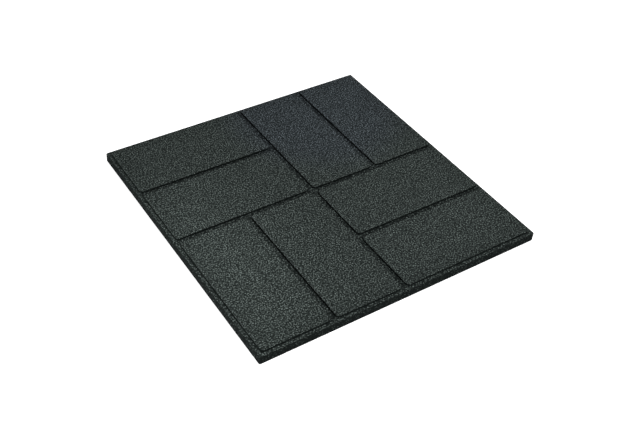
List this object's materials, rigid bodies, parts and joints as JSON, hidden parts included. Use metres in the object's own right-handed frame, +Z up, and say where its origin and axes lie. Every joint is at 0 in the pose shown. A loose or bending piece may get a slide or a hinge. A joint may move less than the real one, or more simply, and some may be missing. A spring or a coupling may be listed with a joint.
{
  "type": "rubber stepping stone",
  "caption": "Square moulded rubber stepping stone with raised brick-shaped pads in a basket weave, open grooves between them and a narrow ledge round the rim.",
  "frame": {"origin": "centre of the square underside, on the ground", "axes": "+Z up out of the walking face; +X and +Y along two sides. The quadrant at -X -Y and the one at +X +Y have their bricks along Y, the other two along X"},
  "size_m": [0.4064, 0.4064, 0.0159],
  "materials": {
    "crumb_rubber": "matte, coarse crumb, dark greenish charcoal"
  },
  "bodies": {
    "root": {"stepping_stone": "crumb_rubber"}
  },
  "joints": []
}
